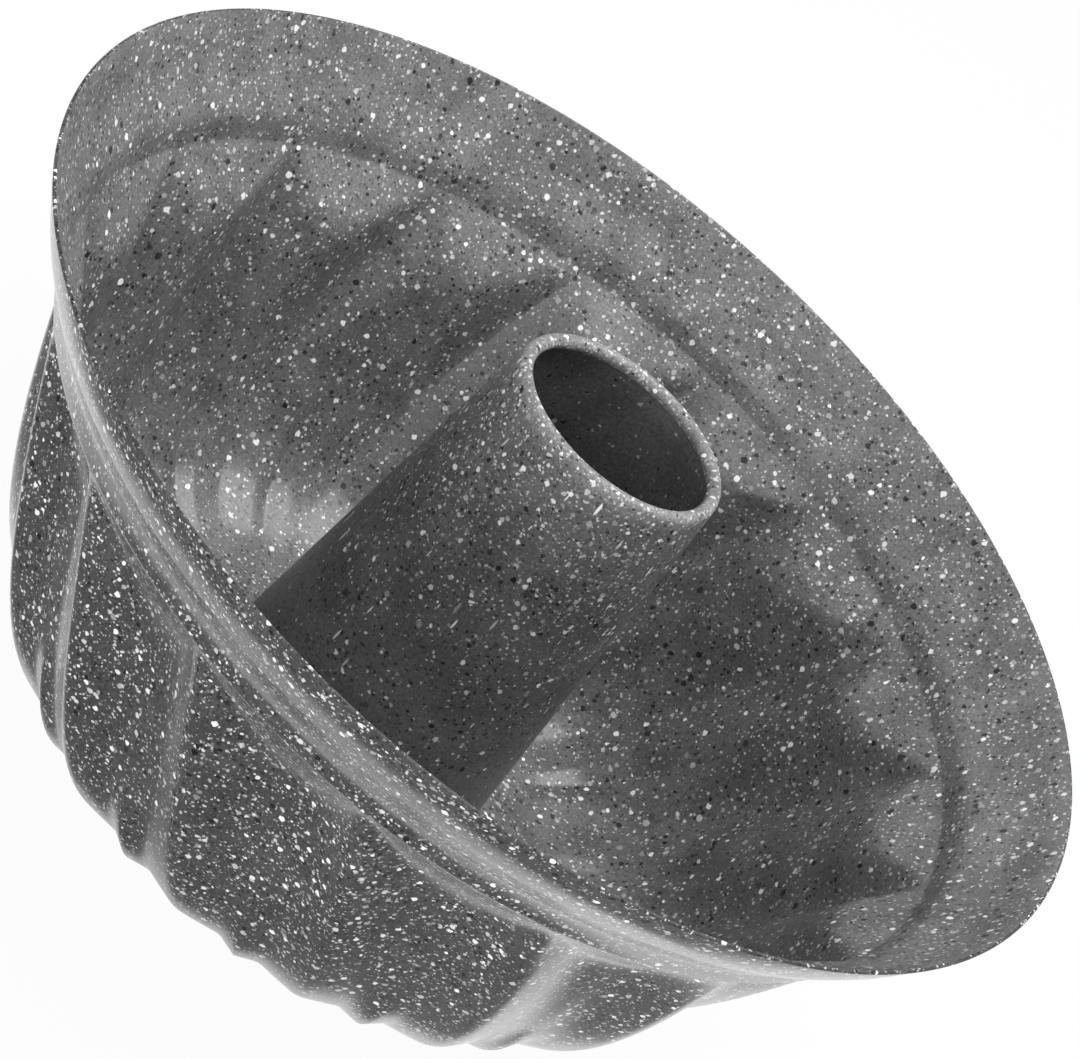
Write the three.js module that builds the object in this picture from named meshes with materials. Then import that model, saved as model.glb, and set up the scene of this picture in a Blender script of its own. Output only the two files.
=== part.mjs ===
// A ring-cake pan. A sheet body is pressed with swirled flutes under a flared rim, and a tapered
// centre tube stands in it, its foot clenched through the hole in the middle of the floor.
// Millimetres, +Z up, origin on the axis at the face that the pan stands on.
import * as THREE from "three";

// Body: heights run up from the resting face, depths run down from the rim edge. The rim band is
// steeper above its bend than below it.
const RIM_RADIUS = 125;
const PAN_DEPTH = 102.5;
const BODY_SHEET = 0.8;
const RIM_FLARE = 12.8;
const RIM_BAND_DEPTH = 18.9;
const BEND_INSET = 5;
const BEND_DEPTH = 9.8;
const STEP_INSET = 1.6;
const STEP_DEPTH = 5.6;

// Fluted wall: straight below the step, then rolling over into the floor.
const WALL_LEAN_DEGREES = 17.2;
const WALL_HANDLE = 53.5;
const FLOOR_HANDLE = 32.6;

// Flutes: flat-floored grooves pressed square to the wall. A sloping shoulder closes each groove at
// its head, and a rib rises out of its floor towards the foot.
const FLUTE_COUNT = 17;
const FLUTE_DEPTH = 6.7;
const SHOULDER_DEPTH = 13.5;
const FLANK_SHARE = 2 / 3;
const FLUTE_FADE = 0.6;
const RIB_TOP = 27.5;
const RIB_FULL = 6;
const SWIRL_DEGREES = 15.8;

// Floor: a flat resting ring round a raised centre that keeps the clench off the table.
const RESTING_WIDTH = 13;
const CENTRE_LIFT = 2.6;
const CENTRE_SLOPE = 2.5;
const CLENCH_MARGIN = 1.5;

// Centre tube.
const TUBE_SHEET = 0.8;
const TUBE_FOOT_RADIUS = 34;
const TUBE_TOP_RADIUS = 25;
const TUBE_RISE = 8.5;
const LIP_ROUND = 1.55;
const CLENCH_WIDTH = 3;
const CLENCH_BEAD = 1.5;

// Clearance between the tube and the edge of the floor that its foot holds.
const SEAT_GAP = 0.3;

// Fineness of the faceted surfaces.
const COLUMNS_PER_FLUTE = 6;
const WALL_STATIONS = 12;
const STATION_CROWDING = 1.5;
const TUBE_COLUMNS = 48;
const LIP_STEPS = 9;
const BEAD_STEPS = 4;

// Values worked out from the sizes above.
const stepRadius = RIM_RADIUS - RIM_FLARE - STEP_INSET;
const stepHeight = PAN_DEPTH - RIM_BAND_DEPTH - STEP_DEPTH;
const holeRadius = TUBE_FOOT_RADIUS + SEAT_GAP;
const clenchRadius = TUBE_FOOT_RADIUS + CLENCH_WIDTH;
const centreRadius = clenchRadius + CLENCH_MARGIN;
const restingInner = centreRadius + CENTRE_SLOPE;
const floorRadius = restingInner + RESTING_WIDTH;
const tubeTop = PAN_DEPTH + TUBE_RISE;

const point = (radius, height) => new THREE.Vector2(radius, height);

// The outer face of the body on a flute ridge, from the rim edge down to the hole in the floor.
function bodyOutline() {
  const wallLean = Math.tan(THREE.MathUtils.degToRad(WALL_LEAN_DEGREES));
  const wall = new THREE.CubicBezierCurve(
    point(stepRadius, stepHeight),
    point(stepRadius - WALL_HANDLE * wallLean, stepHeight - WALL_HANDLE),
    point(floorRadius + FLOOR_HANDLE, 0),
    point(floorRadius, 0),
  );
  const outline = [
    point(RIM_RADIUS, PAN_DEPTH),
    point(RIM_RADIUS - BEND_INSET, PAN_DEPTH - BEND_DEPTH),
    point(RIM_RADIUS - RIM_FLARE, PAN_DEPTH - RIM_BAND_DEPTH),
  ];
  for (let k = 0; k <= WALL_STATIONS; k++)
    outline.push(wall.getPoint((k / WALL_STATIONS) ** STATION_CROWDING));
  outline.push(point(restingInner, 0));
  outline.push(point(centreRadius, CENTRE_LIFT));
  outline.push(point(holeRadius, CENTRE_LIFT));
  return outline;
}

// The same line moved by a distance to its right, square to the line at each point.
function offsetOutline(outline, distance) {
  return outline.map((here, k) => {
    const before = outline[Math.max(k - 1, 0)];
    const after = outline[Math.min(k + 1, outline.length - 1)];
    const into = here === before ? after.clone().sub(here) : here.clone().sub(before);
    const out = here === after ? into.clone() : after.clone().sub(here);
    const along = into.normalize().add(out.normalize()).normalize();
    const mitre = distance / Math.max(along.dot(out), 0.5);
    return point(here.x + along.y * mitre, here.y - along.x * mitre);
  });
}

// How far the sheet is pressed in at a height, across a flute from its ridge (0) to mid-groove (1).
function pressedIn(height, across) {
  const below = stepHeight - height;
  if (below <= 0) return 0;
  const run = (below - SHOULDER_DEPTH) / (stepHeight - SHOULDER_DEPTH);
  const fade = (1 - THREE.MathUtils.clamp(run, 0, 1)) ** FLUTE_FADE;
  const rib = THREE.MathUtils.clamp((RIB_TOP - height) / (RIB_TOP - RIB_FULL), 0, 1);
  const flank = across / FLANK_SHARE;
  const floor = 1 - (rib * (across - FLANK_SHARE)) / (1 - FLANK_SHARE);
  return FLUTE_DEPTH * Math.min(Math.min(flank, floor) * fade, below / SHOULDER_DEPTH);
}

// The height at which an outline point meets the flutes: the floor lies wholly past their lower end.
function fluteHeight(outlinePoint) {
  return outlinePoint.x < floorRadius ? 0 : outlinePoint.y;
}

// The angle by which the swirl has turned the flutes at a height.
function swirlAngle(height) {
  const below = THREE.MathUtils.clamp(stepHeight - height, 0, stepHeight);
  return THREE.MathUtils.degToRad(SWIRL_DEGREES) * (below / stepHeight);
}

// A round shell from a closed outline, standing on +Z.
function lathe(outline, columns) {
  return new THREE.LatheGeometry(outline, columns).rotateX(Math.PI / 2);
}

// The round shell is turned first, then each point of it is pressed in and swirled.
function fluteBody() {
  const outer = bodyOutline();
  const inner = offsetOutline(outer, BODY_SHEET);
  const closed = [...inner, ...outer.toReversed(), inner[0]];
  const stations = outer.map((here, k) => ({
    height: fluteHeight(here),
    inwards: inner[k].clone().sub(here).divideScalar(BODY_SHEET),
  }));
  const rows = [...stations, ...stations.toReversed(), stations[0]];
  const geometry = lathe(closed, FLUTE_COUNT * COLUMNS_PER_FLUTE);
  const position = geometry.getAttribute("position");
  const vertex = new THREE.Vector3();
  const axis = new THREE.Vector3(0, 0, 1);
  for (let v = 0; v < position.count; v++) {
    const column = Math.floor(v / closed.length) % COLUMNS_PER_FLUTE;
    const { height, inwards } = rows[v % closed.length];
    const across = 1 - Math.abs(1 - (2 * column) / COLUMNS_PER_FLUTE);
    const pressed = pressedIn(height, across);
    vertex.fromBufferAttribute(position, v);
    const radius = Math.hypot(vertex.x, vertex.y);
    const closer = (radius + inwards.x * pressed) / radius;
    vertex.set(vertex.x * closer, vertex.y * closer, vertex.z + inwards.y * pressed);
    vertex.applyAxisAngle(axis, swirlAngle(height));
    position.setXYZ(v, vertex.x, vertex.y, vertex.z);
  }
  geometry.computeVertexNormals();
  return geometry;
}

// Points of an arc about a centre, from one angle to another, both in degrees.
function arc(centre, radius, from, to, steps) {
  return Array.from({ length: steps + 1 }, (_, k) => {
    const angle = THREE.MathUtils.degToRad(THREE.MathUtils.lerp(from, to, k / steps));
    return point(centre.x + radius * Math.cos(angle), centre.y + radius * Math.sin(angle));
  });
}

// Clenched foot, bead on the floor, tapered wall and the lip rolled inwards at the top.
function tubeGeometry() {
  const flangeTop = CENTRE_LIFT - SEAT_GAP;
  const flangeUnder = flangeTop - TUBE_SHEET;
  const beadUnder = CENTRE_LIFT + BODY_SHEET + SEAT_GAP;
  const beadCentre = point(TUBE_FOOT_RADIUS, beadUnder + CLENCH_BEAD);
  const lipCentre = point(TUBE_TOP_RADIUS - LIP_ROUND, tubeTop - LIP_ROUND);
  const lipEnd = 290;
  const lip = arc(lipCentre, LIP_ROUND, 0, lipEnd, LIP_STEPS);
  const footBore = TUBE_FOOT_RADIUS - TUBE_SHEET;
  const topBore = TUBE_TOP_RADIUS - TUBE_SHEET;
  const outline = [
    point(footBore, flangeUnder),
    point(clenchRadius, flangeUnder),
    point(clenchRadius, flangeTop),
    point(TUBE_FOOT_RADIUS, flangeTop),
    ...arc(beadCentre, CLENCH_BEAD, -90, 90, BEAD_STEPS),
    ...lip,
    point(topBore, lipCentre.y - 2 * LIP_ROUND),
    point(footBore, beadCentre.y + CLENCH_BEAD),
    point(footBore, flangeUnder),
  ];
  return lathe(outline, TUBE_COLUMNS);
}

// Grey stone-look non-stick coating on both pieces, a little darker on the tube.
const bodyCoating = new THREE.MeshStandardMaterial({ color: 0x6e6e70, roughness: 0.42, metalness: 0.1 });
const tubeCoating = new THREE.MeshStandardMaterial({ color: 0x5c5c5e, roughness: 0.42, metalness: 0.1 });

const body = new THREE.Mesh(fluteBody(), bodyCoating);
body.name = "fluted_body";

const tube = new THREE.Mesh(tubeGeometry(), tubeCoating);
tube.name = "center_tube";

const pan = new THREE.Group();
pan.add(body, tube);

export default pan;
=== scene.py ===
"""Ring-cake pan with swirled flutes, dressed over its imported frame.

Metres, +Z up, in the frame of the part: the pan stands on z = 0 and the axis of its tube is +Z.
"""

import logging
import math
from dataclasses import dataclass, field
from enum import Enum

import bmesh
import bpy
from mathutils import Matrix, Vector
from mathutils.geometry import interpolate_bezier


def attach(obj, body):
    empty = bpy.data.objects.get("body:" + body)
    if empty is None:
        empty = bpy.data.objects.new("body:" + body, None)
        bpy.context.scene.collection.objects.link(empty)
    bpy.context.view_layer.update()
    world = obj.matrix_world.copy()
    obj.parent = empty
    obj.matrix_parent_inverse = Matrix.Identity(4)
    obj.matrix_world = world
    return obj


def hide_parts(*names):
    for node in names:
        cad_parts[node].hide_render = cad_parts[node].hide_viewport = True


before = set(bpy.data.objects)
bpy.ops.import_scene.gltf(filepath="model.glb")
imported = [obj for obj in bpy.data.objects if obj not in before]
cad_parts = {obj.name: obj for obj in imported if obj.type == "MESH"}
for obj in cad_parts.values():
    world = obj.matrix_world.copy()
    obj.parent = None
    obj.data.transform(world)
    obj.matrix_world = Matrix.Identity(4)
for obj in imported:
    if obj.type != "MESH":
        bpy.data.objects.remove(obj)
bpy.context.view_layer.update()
ROOT_BODY = "root"
MM = 0.001

# Sheets: how doubles merge, and how the cut edges are rounded.
MERGE_DISTANCE = 0.002 * MM
SHEET_INWARDS = -1.0
CUT_SEGMENTS = 3
CUT_ANGLE = math.radians(55)

# Flecks: ragged outline, spread of sizes, soft edge and spread of strength.
RAGGED_PER_METRE = 1300.0
RAGGED_REACH = 0.6 * MM
SIZE_POWER = 1.8
SIZE_SPREAD = 0.7
SIZE_SMALLEST = 0.3
SOLID_CORE = 0.7
FAINTEST = 0.2

# The grey under the flecks: wide mottle and fine grain, as factors of its level.
MOTTLE_PER_METRE = 90.0
MOTTLE_FROM = 0.3
MOTTLE_TO = 0.7
MOTTLE_DARK = 0.85
MOTTLE_PALE = 1.15
GRAIN_PER_METRE = 1500.0
GRAIN_FROM = 0.25
GRAIN_TO = 0.75
GRAIN_DARK = 0.75
GRAIN_PALE = 1.25
UNEVEN_ROUGHNESS = 0.04
BUMP_STRENGTH = 0.35
BUMP_DISTANCE = 0.06 * MM

# Dashes drawn out along the tube, and the height from which its white flecks get denser.
DASH_PER_METRE = 640.0
DASH_REACH = 0.29
DASH_SQUEEZE = 0.16
DASH_LEVEL = 0.85
DASH_SHIFT = 7.3
SPARSE_UP_TO = 30 * MM

log = logging.getLogger("ring_cake_pan")

Grey = tuple[float, float, float, float]
Feed = bpy.types.NodeSocket | float | tuple[float, ...]


def grey(level: float) -> Grey:
    """A neutral colour of one linear level."""
    return (level, level, level, 1.0)


class Face(Enum):
    """The two faces of a sheet, as material slots of its piece."""

    OUTSIDE = 0
    INSIDE = 1


class Shades:
    """Adds nodes to a shader tree and joins them."""

    def __init__(self, tree: bpy.types.NodeTree) -> None:
        """Keeps the tree.

        Args:
            tree: The node tree of a material, a world or a group.
        """
        self.tree = tree

    @classmethod
    def of(cls, owner: bpy.types.Material | bpy.types.World) -> "Shades":
        """Opens the emptied tree of a material or a world.

        Args:
            owner: The material or world.

        Returns:
            The tree, ready for nodes.
        """
        owner.use_nodes = True
        owner.node_tree.nodes.clear()
        return cls(owner.node_tree)

    def add(self, kind: str, **settings: object) -> bpy.types.Node:
        """Adds one node.

        Args:
            kind: The node's type name.
            settings: Properties to set on the node.

        Returns:
            The new node.
        """
        node = self.tree.nodes.new(kind)
        for name, value in settings.items():
            setattr(node, name, value)
        return node

    def put(self, socket: bpy.types.NodeSocket, value: Feed) -> None:
        """Gives an input socket a value, or a link from an output socket.

        Args:
            socket: The input socket.
            value: A plain value or an output socket.
        """
        if isinstance(value, bpy.types.NodeSocket):
            self.tree.links.new(value, socket)
        else:
            socket.default_value = value

    def fill(self, node: bpy.types.Node, values: dict[str, Feed]) -> bpy.types.Node:
        """Feeds several inputs of a node.

        Args:
            node: The node.
            values: Plain values or output sockets by input name.

        Returns:
            The same node.
        """
        for name, value in values.items():
            self.put(node.inputs[name], value)
        return node

    def math(self, operation: str, *values: Feed) -> bpy.types.NodeSocket:
        """Adds a Math node.

        Args:
            operation: The node's operation.
            values: Its values or sockets, in order.

        Returns:
            The result.
        """
        node = self.add("ShaderNodeMath", operation=operation)
        for socket, value in zip(node.inputs, values):
            self.put(socket, value)
        return node.outputs[0]

    def vector(self, operation: str, first: Feed, second: Feed) -> bpy.types.NodeSocket:
        """Adds a Vector Math node.

        Args:
            operation: The node's operation.
            first: The first vector.
            second: The second vector, or the factor of a SCALE.

        Returns:
            The resulting vector.
        """
        node = self.add("ShaderNodeVectorMath", operation=operation)
        self.put(node.inputs[0], first)
        self.put(node.inputs["Scale" if operation == "SCALE" else 1], second)
        return node.outputs["Vector"]

    def axes(self, place: Feed) -> bpy.types.NodeOutputs:
        """Splits a point into its X, Y and Z."""
        return self.fill(self.add("ShaderNodeSeparateXYZ"), {"Vector": place}).outputs

    def ramp(
        self, value: Feed, start: Feed, end: Feed, low: Feed = 0.0, high: Feed = 1.0
    ) -> bpy.types.NodeSocket:
        """Maps a value smoothly from one range to another.

        Args:
            value: The value or socket that is mapped.
            start: Where the range begins.
            end: Where the range ends.
            low: The result at the beginning.
            high: The result at the end.

        Returns:
            The mapped value.
        """
        node = self.add("ShaderNodeMapRange", interpolation_type="SMOOTHSTEP")
        names = ("Value", "From Min", "From Max", "To Min", "To Max")
        self.fill(node, dict(zip(names, (value, start, end, low, high))))
        return node.outputs["Result"]

    def mix(self, share: Feed, first: Feed, second: Feed) -> bpy.types.NodeSocket:
        """Mixes two colours.

        Args:
            share: How much of the second colour shows.
            first: The first colour.
            second: The second colour.

        Returns:
            The mixed colour.
        """
        node = self.add("ShaderNodeMix", data_type="RGBA")
        for name, given in zip(("Factor_Float", "A_Color", "B_Color"), (share, first, second)):
            self.put(next(s for s in node.inputs if s.identifier == name), given)
        return next(s for s in node.outputs if s.identifier == "Result_Color")

    def layer(self, share: Feed, first: Feed, second: Feed) -> bpy.types.NodeSocket:
        """Mixes two shaders.

        Args:
            share: How much of the second shader shows.
            first: The first shader.
            second: The second shader.

        Returns:
            The mixed shader.
        """
        node = self.add("ShaderNodeMixShader")
        for socket, given in zip(node.inputs, (share, first, second)):
            self.put(socket, given)
        return node.outputs["Shader"]

    def noise(
        self, place: Feed, per_metre: float, detail: float = 1.0, result: str = "Fac"
    ) -> bpy.types.NodeSocket:
        """Adds soft noise, centred on one half.

        Args:
            place: The point in space.
            per_metre: How often the noise repeats in a metre.
            detail: How many finer octaves it has.
            result: Name of the output, Fac for a value or Color for a vector.

        Returns:
            The noise.
        """
        node = self.add("ShaderNodeTexNoise", noise_dimensions="3D")
        self.fill(node, {"Vector": place, "Scale": per_metre, "Detail": detail})
        return node.outputs[result]


@dataclass(frozen=True)
class FleckLayer:
    """One size of fleck in the coating."""

    share_from: str
    level: float
    per_metre: float
    reach: float
    share: float
    shift: float


FLECK_LAYERS = (
    FleckLayer("White Share", level=0.58, per_metre=1050.0, reach=0.54, share=1.00, shift=3.1),
    FleckLayer("Black Share", level=0.012, per_metre=850.0, reach=0.52, share=0.95, shift=11.7),
    FleckLayer("Black Share", level=0.008, per_metre=440.0, reach=0.46, share=0.50, shift=23.9),
    FleckLayer("White Share", level=0.85, per_metre=500.0, reach=0.47, share=0.75, shift=41.3),
)


class CoatingGroups:
    """The shader groups that every stone-look coating shares, each built once."""

    FLECKS = "Sprayed flecks"
    STONE = "Stone-look coating"

    def __init__(self) -> None:
        """Builds both groups."""
        self.flecks = self._flecks()
        self.stone = self._stone()

    @staticmethod
    def _new(name: str, inputs: dict[str, str], outputs: dict[str, str]) -> bpy.types.NodeTree:
        """Starts a group with its sockets.

        Args:
            name: The group's name.
            inputs: Socket types by input name.
            outputs: Socket types by output name.

        Returns:
            The empty group.
        """
        tree = bpy.data.node_groups.new(name, "ShaderNodeTree")
        for side, sockets in (("INPUT", inputs), ("OUTPUT", outputs)):
            for label, kind in sockets.items():
                tree.interface.new_socket(label, in_out=side, socket_type=kind)
        return tree

    def _flecks(self) -> bpy.types.NodeTree:
        """One layer of sprayed flecks: irregular spots, each with a size and strength of its own.

        Returns:
            The group, whose Mask is 1 on a fleck.
        """
        tree = self._new(
            self.FLECKS,
            {
                "Place": "NodeSocketVector",
                "Per Metre": "NodeSocketFloat",
                "Reach": "NodeSocketFloat",
                "Share": "NodeSocketFloat",
                "Shift": "NodeSocketFloat",
            },
            {"Mask": "NodeSocketFloat"},
        )
        made = Shades(tree)
        given = made.add("NodeGroupInput").outputs
        moved = made.vector("ADD", given["Place"], given["Shift"])
        cells = made.add("ShaderNodeTexVoronoi", voronoi_dimensions="3D", feature="F1")
        made.fill(cells, {"Vector": moved, "Scale": given["Per Metre"]})
        chance = made.add("ShaderNodeSeparateColor")
        made.fill(chance, {"Color": cells.outputs["Color"]})
        size = made.math("POWER", chance.outputs["Green"], SIZE_POWER)
        sized = made.math("MULTIPLY_ADD", size, SIZE_SPREAD, SIZE_SMALLEST)
        reach = made.math("MULTIPLY", given["Reach"], sized)
        core = made.math("MULTIPLY", reach, SOLID_CORE)
        spot = made.ramp(cells.outputs["Distance"], reach, core)
        kept = made.math("LESS_THAN", chance.outputs["Red"], given["Share"])
        strength = made.ramp(chance.outputs["Blue"], 0.0, 1.0, FAINTEST, 1.0)
        mask = made.math("MULTIPLY", made.math("MULTIPLY", spot, kept), strength)
        made.fill(made.add("NodeGroupOutput"), {"Mask": mask})
        return tree

    def _stone(self) -> bpy.types.NodeTree:
        """The coating: mottled grey with fine grain, white and black flecks in two sizes each.

        Returns:
            The group, with a colour, a roughness and a height that vary over the surface.
        """
        tree = self._new(
            self.STONE,
            {
                "Place": "NodeSocketVector",
                "Grey": "NodeSocketColor",
                "White Share": "NodeSocketFloat",
                "Black Share": "NodeSocketFloat",
                "Fineness": "NodeSocketFloat",
                "Mean Roughness": "NodeSocketFloat",
            },
            {"Color": "NodeSocketColor", "Roughness": "NodeSocketFloat", "Height": "NodeSocketFloat"},
        )
        made = Shades(tree)
        given = made.add("NodeGroupInput").outputs
        place = given["Place"]
        swing = made.noise(place, RAGGED_PER_METRE, detail=0.0, result="Color")
        centred = made.vector("SUBTRACT", swing, (0.5, 0.5, 0.5))
        ragged = made.vector("ADD", place, made.vector("SCALE", centred, RAGGED_REACH))
        clouds = made.noise(place, MOTTLE_PER_METRE)
        mottle = made.ramp(clouds, MOTTLE_FROM, MOTTLE_TO, MOTTLE_DARK, MOTTLE_PALE)
        fine = made.noise(place, GRAIN_PER_METRE)
        grain = made.ramp(fine, GRAIN_FROM, GRAIN_TO, GRAIN_DARK, GRAIN_PALE)
        colour = made.vector("SCALE", given["Grey"], made.math("MULTIPLY", mottle, grain))
        for layer in FLECK_LAYERS:
            spots = made.add("ShaderNodeGroup", node_tree=self.flecks)
            values = {
                "Place": ragged,
                "Per Metre": made.math("MULTIPLY", given["Fineness"], layer.per_metre),
                "Reach": layer.reach,
                "Share": made.math("MULTIPLY", given[layer.share_from], layer.share),
                "Shift": layer.shift,
            }
            made.fill(spots, values)
            colour = made.mix(spots.outputs["Mask"], colour, grey(layer.level))
        uneven = made.ramp(mottle, MOTTLE_DARK, MOTTLE_PALE, -UNEVEN_ROUGHNESS, UNEVEN_ROUGHNESS)
        roughness = made.math("ADD", given["Mean Roughness"], uneven)
        out = made.add("NodeGroupOutput")
        made.fill(out, {"Color": colour, "Roughness": roughness, "Height": fine})
        return tree


@dataclass(frozen=True)
class Slant:
    """Where the outside shows its gloss: seen aslant, and earlier on the lower strip of the rim band.

    Heights bound the strip. The other values run from 0, seen head on, to 1, seen edge on.
    """

    strip_foot: float = 60 * MM
    strip_low: float = 78 * MM
    strip_step: float = 84 * MM
    strip_high: float = 94.5 * MM
    strip_top: float = 98 * MM
    start_on_wall: float = 0.5
    start_on_strip: float = 0.33
    strip_run: float = 0.17
    grazing_start: float = 0.64
    grazing_full: float = 0.82

    def weight(self, made: Shades, height: Feed) -> bpy.types.NodeSocket:
        """How much of the gloss shows.

        Args:
            made: The material's tree.
            height: The height of the point.

        Returns:
            0 without gloss, 1 with all of it.
        """
        facing = made.add("ShaderNodeLayerWeight").outputs["Facing"]
        above = made.ramp(height, self.strip_foot, self.strip_low)
        below = made.ramp(height, self.strip_top, self.strip_high)
        start = made.ramp(height, self.strip_low, self.strip_step, self.start_on_wall, self.start_on_strip)
        leaning = made.ramp(facing, start, made.math("ADD", start, self.strip_run))
        strip = made.math("MULTIPLY", made.math("MULTIPLY", above, below), leaning)
        grazing = made.ramp(facing, self.grazing_start, self.grazing_full)
        return made.math("MAXIMUM", strip, grazing)


@dataclass(frozen=True)
class Gloss:
    """A clear gloss over the coating, even all over or only where its slant lets it show."""

    roughness: float
    weight: float = 1.0
    index: float = 1.5
    slant: Slant | None = None

    def lay(self, made: Shades, shader: bpy.types.Node, height: Feed) -> None:
        """Lays the gloss on a shader.

        Args:
            made: The material's tree.
            shader: The Principled shader.
            height: The height of the point.
        """
        weight = self.slant.weight(made, height) if self.slant else self.weight
        made.fill(
            shader,
            {"Coat Weight": weight, "Coat Roughness": self.roughness, "Coat IOR": self.index},
        )


@dataclass(frozen=True)
class LipWithPaintedLight:
    """Towards the top of a piece: where the coating changes, and what it changes to: denser white flecks,
    and a paler grey that is painted light.
    """

    start: float
    end: float
    white: float
    # the paler grey on the lip is painted light
    level: float


@dataclass(frozen=True)
class StoneCoating:
    """A satin non-stick coating with a stone look."""

    name: str
    level: float
    white: float
    black: float
    fineness: float
    roughness: float
    sheen: float
    gloss: Gloss | None = None
    lip: LipWithPaintedLight | None = None
    foot_white: float = 1.0
    dashes: float = 0.0

    def make(self, groups: CoatingGroups) -> bpy.types.Material:
        """Builds the material.

        Args:
            groups: The shared shader groups.

        Returns:
            The material.
        """
        material = bpy.data.materials.new(self.name)
        made = Shades.of(material)
        place = made.add("ShaderNodeTexCoord").outputs["Object"]
        height = made.axes(place)["Z"]
        stone = made.add("ShaderNodeGroup", node_tree=groups.stone)
        values = {
            "Place": place,
            "Grey": grey(self.level),
            "White Share": self.white,
            "Black Share": self.black,
            "Fineness": self.fineness,
            "Mean Roughness": self.roughness,
        }
        if self.lip:
            values |= self.flecks_and_painted_light_by_height(made, height, self.lip)
        made.fill(stone, values)
        bump = made.add("ShaderNodeBump")
        relief = {"Strength": BUMP_STRENGTH, "Distance": BUMP_DISTANCE, "Height": stone.outputs["Height"]}
        made.fill(bump, relief)
        colour = stone.outputs["Color"]
        if self.dashes > 0.0:
            colour = self.dashed(made, groups, place, colour)
        shader = made.add("ShaderNodeBsdfPrincipled")
        finish = {
            "Base Color": colour,
            "Roughness": stone.outputs["Roughness"],
            "Specular IOR Level": self.sheen,
            "Normal": bump.outputs["Normal"],
        }
        made.fill(shader, finish)
        if self.gloss:
            self.gloss.lay(made, shader, height)
        made.fill(made.add("ShaderNodeOutputMaterial"), {"Surface": shader.outputs["BSDF"]})
        return material

    def flecks_and_painted_light_by_height(self, made: Shades, height: Feed, lip: LipWithPaintedLight) -> dict[str, Feed]:
        """Changes the coating with the height: flecks get denser up to the lip, and the grey paler on it,
        which is painted light.

        Args:
            made: The material's tree.
            height: The height of the point.
            lip: Where and how the coating changes.

        Returns:
            Inputs of the stone group by name.
        """
        near = made.ramp(height, lip.start, lip.end)
        rising = made.ramp(height, SPARSE_UP_TO, lip.start, self.white * self.foot_white, self.white)
        return {
            "White Share": made.ramp(near, 0.0, 1.0, rising, lip.white),
            # painted light: the grey gets paler towards the top
            "Grey": made.mix(near, grey(self.level), grey(lip.level)),
        }

    def dashed(
        self, made: Shades, groups: CoatingGroups, place: Feed, colour: Feed
    ) -> bpy.types.NodeSocket:
        """Adds the thin white dashes that lie along the tube.

        Args:
            made: The material's tree.
            groups: The shared shader groups.
            place: The point on the piece.
            colour: The colour below the dashes.

        Returns:
            The colour with the dashes.
        """
        spots = made.add("ShaderNodeGroup", node_tree=groups.flecks)
        values = {
            "Place": made.vector("MULTIPLY", place, (1.0, 1.0, DASH_SQUEEZE)),
            "Per Metre": DASH_PER_METRE,
            "Reach": DASH_REACH,
            "Share": self.dashes,
            "Shift": DASH_SHIFT,
        }
        made.fill(spots, values)
        return made.mix(spots.outputs["Mask"], colour, grey(DASH_LEVEL))


BODY_OUTSIDE = StoneCoating(
    "Body coating outside",
    level=0.06,
    white=0.95,
    black=1.4,
    fineness=1.2,
    roughness=0.36,
    sheen=0.15,
    gloss=Gloss(roughness=0.14, index=3.5, slant=Slant()),
)
BODY_INSIDE = StoneCoating(
    "Body coating inside",
    level=0.115,
    white=0.55,
    black=0.9,
    fineness=1.0,
    roughness=0.40,
    sheen=0.35,
    gloss=Gloss(roughness=0.17, weight=0.4),
    # the paler grey from 55 mm up is painted light on the shoulders and the rim band
    lip=LipWithPaintedLight(start=55 * MM, end=74 * MM, white=0.70, level=0.14),
)
TUBE_OUTSIDE = StoneCoating(
    "Tube coating",
    level=0.115,
    white=1.0,
    black=0.8,
    fineness=1.2,
    roughness=0.42,
    sheen=0.35,
    # the paler grey on the rolled lip is painted light
    lip=LipWithPaintedLight(start=106.8 * MM, end=109.2 * MM, white=1.4, level=0.18),
    foot_white=0.1,
    dashes=0.2,
)
TUBE_BORE = StoneCoating(
    "Tube bore coating",
    level=0.13,
    white=0.10,
    black=0.12,
    fineness=1.25,
    roughness=0.45,
    sheen=0.3,
)


def add_object(name: str, data: bpy.types.ID) -> bpy.types.Object:
    """Makes an object and links it to the scene.

    Args:
        name: The object's name.
        data: Its mesh, camera or light.

    Returns:
        The object.
    """
    added = bpy.data.objects.new(name, data)
    bpy.context.scene.collection.objects.link(added)
    return added


def to_mesh(name: str, bm: bmesh.types.BMesh) -> bpy.types.Mesh:
    """Turns a bmesh into a mesh and frees it.

    Args:
        name: The mesh's name.
        bm: The bmesh.

    Returns:
        The mesh.
    """
    mesh = bpy.data.meshes.new(name)
    bm.to_mesh(mesh)
    bm.free()
    return mesh


def coat(piece: bpy.types.Object, finishes: dict[Face, StoneCoating], groups: CoatingGroups) -> None:
    """Gives each face of a sheet its coating.

    Args:
        piece: The piece.
        finishes: The coatings by face.
        groups: The shared shader groups.
    """
    for face in Face:
        piece.data.materials.append(finishes[face].make(groups))


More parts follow.
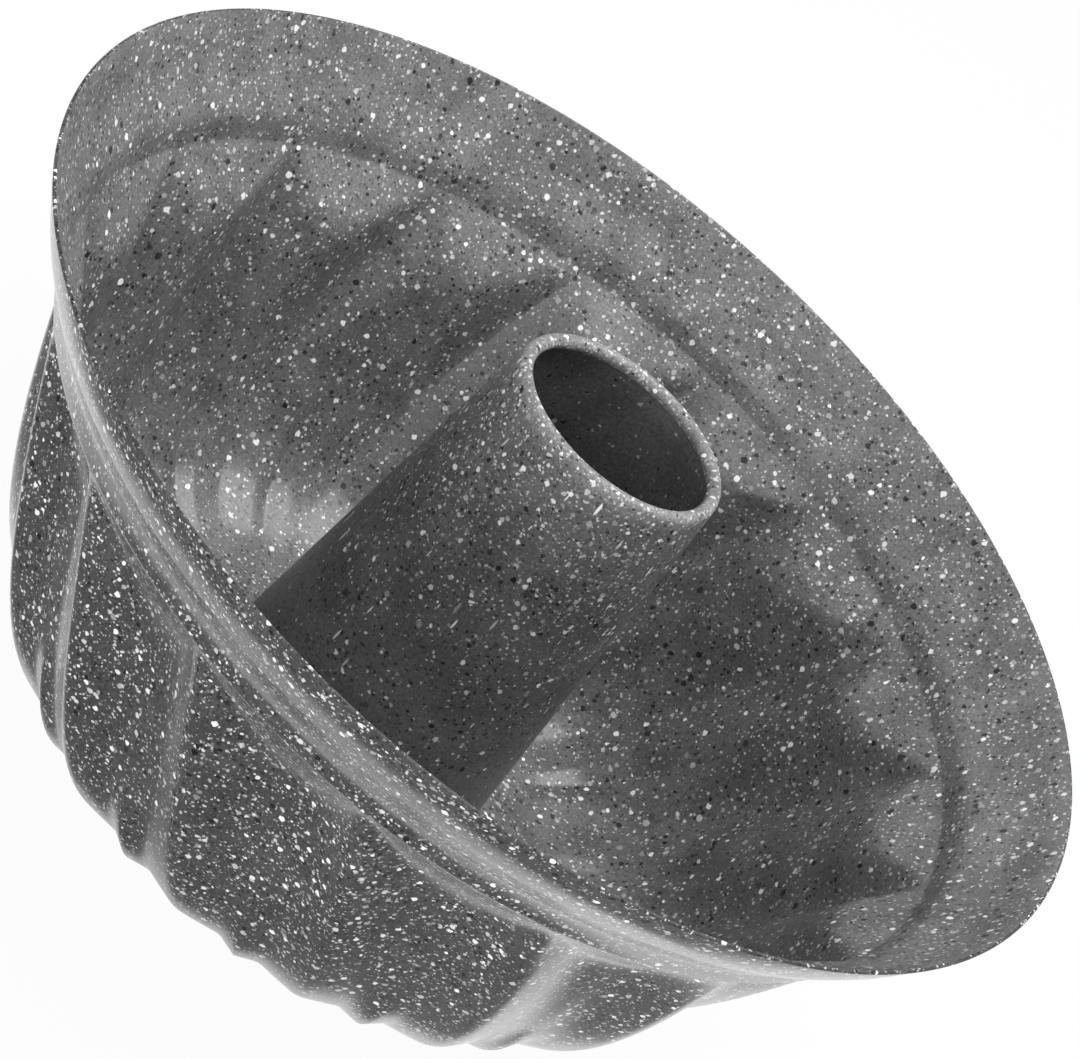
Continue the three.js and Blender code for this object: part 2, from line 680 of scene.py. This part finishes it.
def sheet_piece(name: str, bm: bmesh.types.BMesh, thickness: float, rounding: float) -> bpy.types.Object:
    """Makes an object of a pressed sheet: the mesh is its outer face and the sheet lies inside it.

    Args:
        name: The piece's name.
        bm: The outer face, with normals out of the sheet. It is freed.
        thickness: Thickness of the sheet.
        rounding: Rounding of the cut edges.

    Returns:
        The object, with its modifiers.
    """
    mesh = to_mesh(name, bm)
    mesh.shade_smooth()
    piece = add_object(name, mesh)
    sheet = piece.modifiers.new("Sheet", "SOLIDIFY")
    sheet.thickness = thickness
    sheet.offset = SHEET_INWARDS
    sheet.use_even_offset = True
    sheet.material_offset = Face.INSIDE.value
    cut = piece.modifiers.new("Cut edges", "BEVEL")
    cut.width = rounding
    cut.segments = CUT_SEGMENTS
    cut.limit_method = "ANGLE"
    cut.angle_limit = CUT_ANGLE
    return piece


def wire(bm: bmesh.types.BMesh, outline: list[Vector]) -> list[bmesh.types.BMVert]:
    """Draws an outline as a wire.

    Args:
        bm: The mesh that takes the wire.
        outline: Points as (radius, 0, height), which go to the -Y side of the axis.

    Returns:
        The vertices in order.
    """
    verts = [bm.verts.new((0.0, -p.x, p.z)) for p in outline]
    for first, second in zip(verts, verts[1:]):
        bm.edges.new((first, second))
    return verts


def turn(bm: bmesh.types.BMesh, columns: int) -> None:
    """Turns the wire all the way round the axis, with faces pointing out of the sheet.

    Args:
        bm: The mesh that holds the wire.
        columns: Number of columns in the round.
    """
    bmesh.ops.spin(
        bm,
        geom=bm.verts[:] + bm.edges[:],
        axis=(0.0, 0.0, 1.0),
        cent=(0.0, 0.0, 0.0),
        angle=math.tau,
        steps=columns,
        use_merge=True,
    )
    bmesh.ops.remove_doubles(bm, verts=bm.verts[:], dist=MERGE_DISTANCE)
    bmesh.ops.recalc_face_normals(bm, faces=bm.faces[:])


def rz(radius: float, height: float) -> Vector:
    """A point of an outline."""
    return Vector((radius, 0.0, height))


def arc(centre: Vector, radius: float, start: float, end: float, steps: int) -> list[Vector]:
    """Points of an arc in an outline.

    Args:
        centre: Centre of the arc.
        radius: Its radius.
        start: First angle in degrees, from the outward direction towards up.
        end: Last angle in degrees.
        steps: Number of steps.

    Returns:
        The points from start to end.
    """
    points = []
    for k in range(steps + 1):
        angle = math.radians(start + (end - start) * k / steps)
        points.append(centre + rz(radius * math.cos(angle), radius * math.sin(angle)))
    return points


def clamped(value: float, low: float, high: float) -> float:
    """The value, held between two bounds."""
    return min(max(value, low), high)


@dataclass
class FlutedBody:
    """The pressed body: flared rim band, step, swirled flutes and floor with a hole for the tube."""

    rim_radius: float = 125 * MM
    pan_depth: float = 102.5 * MM
    sheet: float = 0.8 * MM
    rim_flare: float = 12.8 * MM
    rim_band_depth: float = 18.9 * MM
    bend_inset: float = 5 * MM
    bend_depth: float = 9.8 * MM
    step_inset: float = 1.6 * MM
    step_depth: float = 5.6 * MM
    wall_lean: float = math.radians(17.2)
    wall_handle: float = 53.5 * MM
    floor_handle: float = 32.6 * MM
    floor_radius: float = 54 * MM
    resting_inner: float = 41 * MM
    centre_radius: float = 38.5 * MM
    centre_lift: float = 2.6 * MM
    hole_radius: float = 34.3 * MM
    flute_count: int = 17
    flute_depth: float = 6.7 * MM
    shoulder: float = 13.5 * MM
    flank_share: float = 2 / 3
    flute_fade: float = 0.6
    rib_top: float = 27.5 * MM
    rib_full: float = 6 * MM
    swirl: float = math.radians(15.8)
    first_ridge: float = math.radians(-90)
    ring_round: float = 2.0 * MM
    bend_round: float = 4 * MM
    round_segments: int = 6
    crease_round: float = 0.1
    corner_round: float = 0.36
    shoulder_round: float = 1.2 * MM
    edge_round: float = 0.3 * MM
    columns_per_flute: int = 30
    wall_stations: int = 40
    shoulder_cuts: int = 2
    shoulder_margin: float = 1.15
    seam_slack: float = 1e-6

    @property
    def step_radius(self) -> float:
        """Radius of the ring where the flutes begin."""
        return self.rim_radius - self.rim_flare - self.step_inset

    @property
    def step_height(self) -> float:
        """Height of the ring where the flutes begin."""
        return self.pan_depth - self.rim_band_depth - self.step_depth

    def outline(self, bm: bmesh.types.BMesh) -> None:
        """Draws the outer face on a flute ridge, from the rim edge to the hole in the floor.

        Args:
            bm: The mesh that takes the wire.
        """
        top = rz(self.step_radius, self.step_height)
        fall = rz(-self.wall_handle * math.tan(self.wall_lean), -self.wall_handle)
        foot = rz(self.floor_radius, 0.0)
        reach = rz(self.floor_handle, 0.0)
        wall = interpolate_bezier(top, top + fall, foot + reach, foot, self.wall_stations)
        points = [
            rz(self.rim_radius, self.pan_depth),
            rz(self.rim_radius - self.bend_inset, self.pan_depth - self.bend_depth),
            rz(self.rim_radius - self.rim_flare, self.pan_depth - self.rim_band_depth),
            *wall,
            rz(self.resting_inner, 0.0),
            rz(self.centre_radius, self.centre_lift),
            rz(self.hole_radius, self.centre_lift),
        ]
        _, bend, band_foot, step, *_, resting, centre, _ = wire(bm, points)
        rings = [band_foot, step, resting, centre]
        for corners, rounding in ((rings, self.ring_round), ([bend], self.bend_round)):
            bmesh.ops.bevel(
                bm,
                geom=corners,
                offset=rounding,
                offset_type="OFFSET",
                segments=self.round_segments,
                profile=0.5,
                affect="VERTICES",
                material=-1,
                clamp_overlap=True,
            )
        low = self.step_height - self.shoulder * self.shoulder_margin
        near = [e for e in bm.edges if all(low < v.co.z < self.step_height for v in e.verts)]
        bmesh.ops.subdivide_edges(bm, edges=near, cuts=self.shoulder_cuts)

    @staticmethod
    def lesser(first: float, second: float, rounding: float) -> float:
        """The smaller of two values, with the corner between them rounded.

        Args:
            first: The first value.
            second: The second value.
            rounding: How close the values are where the rounding begins.

        Returns:
            The smaller value, lowered a little near the corner.
        """
        near = max(rounding - abs(first - second), 0.0) / rounding
        return min(first, second) - near**2 * rounding / 4.0

    def across(self, share: float, rib: float) -> float:
        """The section of a flute: sharp ridge, flank, groove floor and the rib on the floor.

        Args:
            share: Place in the flute, from one ridge (0) to the next (1).
            rib: How far the rib has risen, 1 at the level of the ridges.

        Returns:
            0 on the ridge and 1 on the floor of the groove.
        """
        away = 1.0 - abs(1.0 - 2.0 * share)
        if away < self.crease_round:
            away = (away**2 + self.crease_round**2) / (2.0 * self.crease_round)
        flank = away / self.flank_share
        floor = 1.0 - rib * (away - self.flank_share) / (1.0 - self.flank_share)
        return self.lesser(flank, floor, self.corner_round)

    def pressed_in(self, below: float, share: float) -> float:
        """How far the sheet is pressed in, square to the wall.

        Args:
            below: Distance below the ring where the flutes begin.
            share: Place in the flute.

        Returns:
            The depth.
        """
        run = (below - self.shoulder) / (self.step_height - self.shoulder)
        fade = (1.0 - clamped(run, 0.0, 1.0)) ** self.flute_fade
        height = self.step_height - below
        rib = clamped((self.rib_top - height) / (self.rib_top - self.rib_full), 0.0, 1.0)
        face = self.flute_depth * self.across(share, rib) * fade
        facet = self.flute_depth * below / self.shoulder
        return max(self.lesser(face, facet, self.shoulder_round), 0.0)

    def press(self, point: Vector, normal: Vector) -> Vector:
        """Moves a point of the round shell to its place in the flutes.

        Args:
            point: The point on the round shell.
            normal: The shell's normal there, out of the sheet.

        Returns:
            The point on the fluted shell.
        """
        radius = math.hypot(point.x, point.y)
        pitch = math.tau / self.flute_count
        turns = (math.atan2(point.y, point.x) - self.first_ridge) / pitch
        flute = math.floor(turns + self.seam_slack)
        height = point.z if radius >= self.floor_radius else 0.0
        below = clamped(self.step_height - height, 0.0, self.step_height)
        pressed = self.pressed_in(below, clamped(turns - flute, 0.0, 1.0))
        twist = Matrix.Rotation(self.swirl * below / self.step_height, 3, "Z")
        return twist @ (point - normal * pressed)

    def build(self) -> bpy.types.Object:
        """Turns the outline, presses the flutes and gives the sheet its thickness.

        Returns:
            The body.
        """
        bm = bmesh.new()
        self.outline(bm)
        turn(bm, self.flute_count * self.columns_per_flute)
        bm.normal_update()
        for vert in bm.verts:
            vert.co = self.press(vert.co, vert.normal)
        return sheet_piece("fluted_pan_body", bm, self.sheet, self.edge_round)

    def dress(self, piece: bpy.types.Object, groups: CoatingGroups) -> None:
        """Coats the body and sets it in the frame.

        Args:
            piece: The body.
            groups: The shared shader groups.
        """
        coat(piece, {Face.OUTSIDE: BODY_OUTSIDE, Face.INSIDE: BODY_INSIDE}, groups)
        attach(piece, ROOT_BODY)
        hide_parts("fluted_body")


@dataclass
class CentreTube:
    """The tapered tube: foot clenched through the floor, bead above it and a rolled lip."""

    sheet: float = 0.8 * MM
    foot_radius: float = 34 * MM
    top_radius: float = 25 * MM
    top_height: float = 111 * MM
    lip_round: float = 1.55 * MM
    lip_end: float = 290.0
    clench_width: float = 3 * MM
    clench_height: float = 2.3 * MM
    bead_round: float = 1.5 * MM
    bead_under: float = 3.7 * MM
    edge_round: float = 0.12 * MM
    columns: int = 192
    wall_rows: int = 10
    lip_steps: int = 24
    bead_steps: int = 12

    def build(self) -> bpy.types.Object:
        """Turns the outline and gives the sheet its thickness.

        Returns:
            The tube.
        """
        bead_centre = rz(self.foot_radius, self.bead_under + self.bead_round)
        lip_centre = rz(self.top_radius - self.lip_round, self.top_height - self.lip_round)
        foot = [
            rz(self.foot_radius + self.clench_width, self.clench_height),
            rz(self.foot_radius, self.clench_height),
            *arc(bead_centre, self.bead_round, -90.0, 90.0, self.bead_steps),
        ]
        lip = arc(lip_centre, self.lip_round, 0.0, self.lip_end, self.lip_steps)
        bm = bmesh.new()
        verts = wire(bm, foot + lip)
        wall = bm.edges.get((verts[len(foot) - 1], verts[len(foot)]))
        bmesh.ops.subdivide_edges(bm, edges=[wall], cuts=self.wall_rows)
        turn(bm, self.columns)
        return sheet_piece("centre_tube", bm, self.sheet, self.edge_round)

    def dress(self, piece: bpy.types.Object, groups: CoatingGroups) -> None:
        """Coats the tube and sets it in the frame.

        Args:
            piece: The tube.
            groups: The shared shader groups.
        """
        coat(piece, {Face.OUTSIDE: TUBE_OUTSIDE, Face.INSIDE: TUBE_BORE}, groups)
        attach(piece, ROOT_BODY)
        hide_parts("center_tube")


@dataclass
class PhotoCamera:
    """The camera at the photograph's viewing angle, from a fit to the rim, the tube and the flutes."""

    frame_width: float = 1080.0
    frame_height: float = 1059.0
    focal_pixels: float = 3000.0
    sensor: float = 36.0
    clip_start: float = 10 * MM
    tilt: float = math.radians(30.02)
    roll: float = math.radians(42.62)
    turn: float = math.radians(-6.55)
    distance: float = 0.6015
    rim_pixel_x: float = 599.8
    rim_pixel_y: float = 451.3
    rim_height: float = 102.5 * MM

    def build(self) -> None:
        """Makes the camera and gives it to the scene."""
        ahead = Vector((0.0, math.cos(self.tilt), -math.sin(self.tilt)))
        level = Vector((1.0, 0.0, 0.0))
        lifted = Vector((0.0, math.sin(self.tilt), math.cos(self.tilt)))
        right = math.cos(self.roll) * level + math.sin(self.roll) * lifted
        up = math.cos(self.roll) * lifted - math.sin(self.roll) * level
        aside = (self.rim_pixel_x - self.frame_width / 2) / self.focal_pixels * self.distance
        drop = (self.rim_pixel_y - self.frame_height / 2) / self.focal_pixels * self.distance
        rim_centre = Vector((0.0, 0.0, self.rim_height))
        stand = Matrix((right, up, -ahead)).transposed().to_4x4()
        stand.translation = rim_centre - aside * right + drop * up - self.distance * ahead
        data = bpy.data.cameras.new("Photo camera")
        data.sensor_fit = "HORIZONTAL"
        data.sensor_width = self.sensor
        data.lens = self.focal_pixels / self.frame_width * self.sensor
        data.clip_start = self.clip_start
        camera = add_object("Photo camera", data)
        camera.matrix_world = Matrix.Rotation(self.turn, 4, "Z") @ stand
        bpy.context.scene.camera = camera


@dataclass(frozen=True)
class Softbox:
    """One area lamp that looks at a point."""

    name: str
    place: tuple[float, float, float]
    target: tuple[float, float, float]
    width: float
    height: float
    watts: float

    def build(self) -> None:
        """Makes the lamp."""
        data = bpy.data.lights.new(self.name, "AREA")
        data.shape = "RECTANGLE"
        data.size = self.width
        data.size_y = self.height
        data.energy = self.watts
        lamp = add_object(self.name, data)
        towards = Vector(self.target) - Vector(self.place)
        facing = towards.to_track_quat("-Z", "Y").to_matrix().to_4x4()
        lamp.matrix_world = Matrix.Translation(self.place) @ facing


LAMPS = (
    Softbox(
        "Overhead softbox",
        place=(0.27, 0.17, 1.1),
        target=(0.2, 0.1, 0.05),
        width=0.9,
        height=1.2,
        watts=20.0,
    ),
    Softbox(
        "Front fill",
        place=(-0.5, -1.1, 0.55),
        target=(0.0, 0.0, 0.05),
        width=1.2,
        height=1.2,
        watts=7.0,
    ),
    Softbox(
        "Low front strip",
        place=(-0.25, -0.95, 0.16),
        target=(0.0, 0.0, 0.05),
        width=1.5,
        height=0.22,
        watts=5.0,
    ),
)


@dataclass
class Studio:
    """A white room: pale floor, white surroundings and soft lamps.

    Reflections show the floor with painted shade, darker in front of the pan than behind it, and the room
    darker above.
    """

    floor_radius: float = 4.0
    floor_segments: int = 64
    floor_drop: float = 0.2 * MM
    floor_level: float = 0.7
    floor_white: float = 0.96
    # painted shade on the floor in reflections, in front of the pan
    front_painted_shade_level: float = 0.55
    front_end: float = -95 * MM
    back_start: float = -45 * MM
    back_lean: float = 0.3
    room_level: float = 0.24
    horizon_level: float = 0.9
    horizon_top: float = 0.1
    ceiling_level: float = 0.24
    ceiling_start: float = 0.6
    lamps: tuple[Softbox, ...] = field(default=LAMPS)

    def floor(self) -> bpy.types.Object:
        """Makes the floor, just below the pan.

        Returns:
            The floor.
        """
        bm = bmesh.new()
        bmesh.ops.create_circle(bm, cap_ends=True, segments=self.floor_segments, radius=self.floor_radius)
        bmesh.ops.translate(bm, verts=bm.verts[:], vec=(0.0, 0.0, -self.floor_drop))
        mesh = to_mesh("floor", bm)
        mesh.materials.append(self.floor_finish())
        return add_object("floor", mesh)

    def floor_finish(self) -> bpy.types.Material:
        """A matt floor, white to the camera and clear from below; in reflections it has painted shade,
        darker in front of the pan.

        Returns:
            The material.
        """
        material = bpy.data.materials.new("Pale floor")
        made = Shades.of(material)
        place = made.axes(made.add("ShaderNodeTexCoord").outputs["Object"])
        # painted shade: in reflections the floor is darker in front of the pan than behind it
        behind = made.math("MULTIPLY_ADD", place["X"], self.back_lean, place["Y"])
        mirrored = made.ramp(behind, self.front_end, self.back_start, self.front_painted_shade_level, 1.0)
        direct, shown = self.rays(made)
        white = made.add("ShaderNodeEmission")
        made.fill(white, {"Strength": made.math("MAXIMUM", mirrored, direct)})
        matt = made.add("ShaderNodeBsdfDiffuse")
        made.fill(matt, {"Color": grey(self.floor_level)})
        share = made.math("MULTIPLY", shown, self.floor_white)
        pale = made.layer(share, matt.outputs["BSDF"], white.outputs["Emission"])
        clear = made.add("ShaderNodeBsdfTransparent").outputs["BSDF"]
        from_below = made.add("ShaderNodeNewGeometry").outputs["Backfacing"]
        surface = made.layer(from_below, pale, clear)
        made.fill(made.add("ShaderNodeOutputMaterial"), {"Surface": surface})
        return material

    @staticmethod
    def rays(made: Shades) -> tuple[bpy.types.NodeSocket, bpy.types.NodeSocket]:
        """Tells the rays that show the surroundings from those that light the pan.

        Args:
            made: The tree that takes the nodes.

        Returns:
            1 on rays from the camera, and 1 on these and on rays of reflections and clear things.
        """
        path = made.add("ShaderNodeLightPath").outputs
        direct = path["Is Camera Ray"]
        mirrored = made.math("MAXIMUM", path["Is Glossy Ray"], path["Is Transmission Ray"])
        return direct, made.math("MAXIMUM", direct, mirrored)

    def room(self) -> None:
        """Makes the white surroundings."""
        world = bpy.data.worlds.new("White room")
        made = Shades.of(world)
        upward = made.axes(made.add("ShaderNodeTexCoord").outputs["Generated"])["Z"]
        mirrored = made.ramp(
            upward, self.horizon_top, self.ceiling_start, self.horizon_level, self.ceiling_level
        )
        direct, shown = self.rays(made)
        level = made.ramp(shown, 0.0, 1.0, self.room_level, mirrored)
        light = made.add("ShaderNodeBackground")
        made.fill(light, {"Color": grey(1.0), "Strength": made.math("MAXIMUM", level, direct)})
        made.fill(made.add("ShaderNodeOutputWorld"), {"Surface": light.outputs["Background"]})
        bpy.context.scene.world = world

    def build(self) -> None:
        """Makes the floor, the surroundings and the lamps."""
        self.floor()
        self.room()
        for lamp in self.lamps:
            lamp.build()
        bpy.context.scene.view_settings.view_transform = "Standard"


def main() -> None:
    """Builds the camera, the studio and the pan's two pieces."""
    logging.basicConfig(level=logging.INFO, format="%(name)s: %(message)s")
    PhotoCamera().build()
    Studio().build()
    groups = CoatingGroups()
    for part in (FlutedBody(), CentreTube()):
        piece = part.build()
        part.dress(piece, groups)
        log.info("%s: %d faces before its sheet", piece.name, len(piece.data.polygons))


if __name__ == "__main__":
    main()
